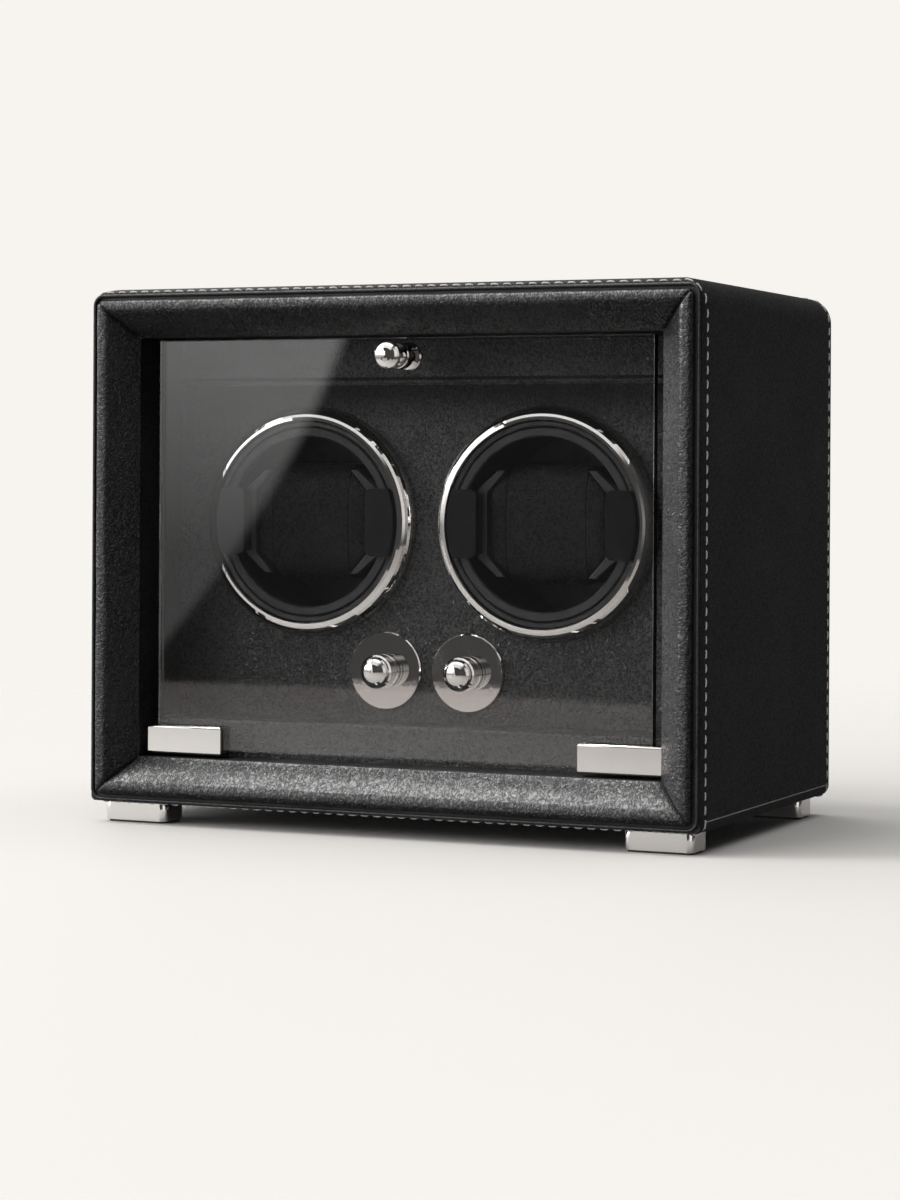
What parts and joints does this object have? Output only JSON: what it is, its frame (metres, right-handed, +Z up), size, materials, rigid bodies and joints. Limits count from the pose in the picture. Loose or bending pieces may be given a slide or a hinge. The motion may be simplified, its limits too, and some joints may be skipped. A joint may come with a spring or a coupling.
{
  "type": "watch winder box",
  "caption": "Leather-covered watch winder box with a padded mitred frame, drop-front glass door, motor-driven turntables with pull-out cushions, and selector knobs.",
  "frame": {"origin": "under the middle of the whole box, on the surface the feet stand on", "axes": "+X to the right seen from the front, +Y from the glass door to the back panel, +Z up"},
  "size_m": [0.254, 0.1574, 0.2089],
  "materials": {
    "wood_board": "matte",
    "black_board": "matte",
    "black_leather": "fine grained, semi-matt",
    "padded_leather": "pebbled, soft sheen",
    "cushion_leather": "pebbled, matt",
    "chrome": "polished",
    "glass": "clear, polished",
    "black_plastic": "satin",
    "gloss_black": "polished",
    "grey_plastic": "satin",
    "white_nylon": "satin",
    "rubber": "matte",
    "steel": "zinc plated",
    "brass": "machined",
    "circuit_green": "lacquered",
    "lead_sheath": "satin"
  },
  "bodies": {
    "case": {"carcass": "wood_board", "leather_wrap": "black_leather", "front_welt": "black_leather", "frame_backer": "wood_board", "top_rail": "padded_leather", "bottom_rail": "padded_leather", "left_rail": "padded_leather", "right_rail": "padded_leather", "recess_liner": "black_leather", "inner_panel": "black_leather", "header_strip": "black_leather", "sill": "black_leather", "panel_cleats": "wood_board", "back_panel": "black_board", "wood_screws": "steel", "front_left_foot": "chrome", "front_right_foot": "chrome", "rear_left_foot": "chrome", "rear_right_foot": "chrome", "foot_pads": "rubber", "foot_screws": "steel", "hinge_bushes": "black_plastic", "left_bezel": "chrome", "right_bezel": "chrome", "left_housing": "black_plastic", "right_housing": "black_plastic", "spindle_bearings": "brass", "drive_chassis": "steel", "left_gearmotor": "steel", "right_gearmotor": "steel", "machine_screws": "steel", "knob_plates": "chrome", "selector_switches": "grey_plastic", "circuit_board": "circuit_green", "power_jack": "black_plastic", "wiring_leads": "lead_sheath"},
    "door": {"glass_pane": "glass", "left_hinge_clip": "chrome", "right_hinge_clip": "chrome", "clip_gaskets": "rubber", "clip_screws": "steel", "hinge_pins": "steel", "door_knob": "chrome", "door_knob_back": "chrome"},
    "left_turntable": {"left_cup": "black_plastic", "left_cup_rim": "grey_plastic", "left_drive_gear": "white_nylon"},
    "left_motor_pinion": {"left_pinion": "brass"},
    "left_watch_holder": {"left_holder": "grey_plastic", "left_grips": "gloss_black", "left_cushion": "cushion_leather"},
    "left_selector": {"left_knob": "chrome"},
    "right_turntable": {"right_cup": "black_plastic", "right_cup_rim": "grey_plastic", "right_drive_gear": "white_nylon"},
    "right_motor_pinion": {"right_pinion": "brass"},
    "right_watch_holder": {"right_holder": "grey_plastic", "right_grips": "gloss_black", "right_cushion": "cushion_leather"},
    "right_selector": {"right_knob": "chrome"}
  },
  "joints": [
    {"name": "door_hinge", "type": "hinge", "parent": "case", "child": "door", "pos_m": [0, -0.06105, 0.03245], "axis": [1, 0, 0], "range_deg": [0, 90]},
    {"name": "left_turntable_spin", "type": "hinge", "parent": "case", "child": "left_turntable", "pos_m": [-0.0501, 0.00525, 0.1181], "axis": [0, 1, 0], "continuous": true},
    {"name": "left_pinion_spin", "type": "hinge", "parent": "case", "child": "left_motor_pinion", "pos_m": [-0.0501, 0.02025, 0.0845], "axis": [0, 1, 0], "continuous": true},
    {"name": "left_holder_pull", "type": "slide", "parent": "left_turntable", "child": "left_watch_holder", "axis": [0, -1, 0], "range_m": [0, 0.015]},
    {"name": "left_knob_turn", "type": "hinge", "parent": "case", "child": "left_selector", "pos_m": [-0.0175, -0.04075, 0.0603], "axis": [0, 1, 0], "range_deg": [-60, 60]},
    {"name": "right_turntable_spin", "type": "hinge", "parent": "case", "child": "right_turntable", "pos_m": [0.0501, 0.00525, 0.1181], "axis": [0, 1, 0], "continuous": true},
    {"name": "right_pinion_spin", "type": "hinge", "parent": "case", "child": "right_motor_pinion", "pos_m": [0.0501, 0.02025, 0.0845], "axis": [0, 1, 0], "continuous": true},
    {"name": "right_holder_pull", "type": "slide", "parent": "right_turntable", "child": "right_watch_holder", "axis": [0, -1, 0], "range_m": [0, 0.015]},
    {"name": "right_knob_turn", "type": "hinge", "parent": "case", "child": "right_selector", "pos_m": [0.0175, -0.04075, 0.0603], "axis": [0, 1, 0], "range_deg": [-60, 60]}
  ],
  "couplings": [
    {"joint": "left_pinion_spin", "follows": "left_turntable_spin", "ratio": -6},
    {"joint": "right_pinion_spin", "follows": "right_turntable_spin", "ratio": -6}
  ]
}
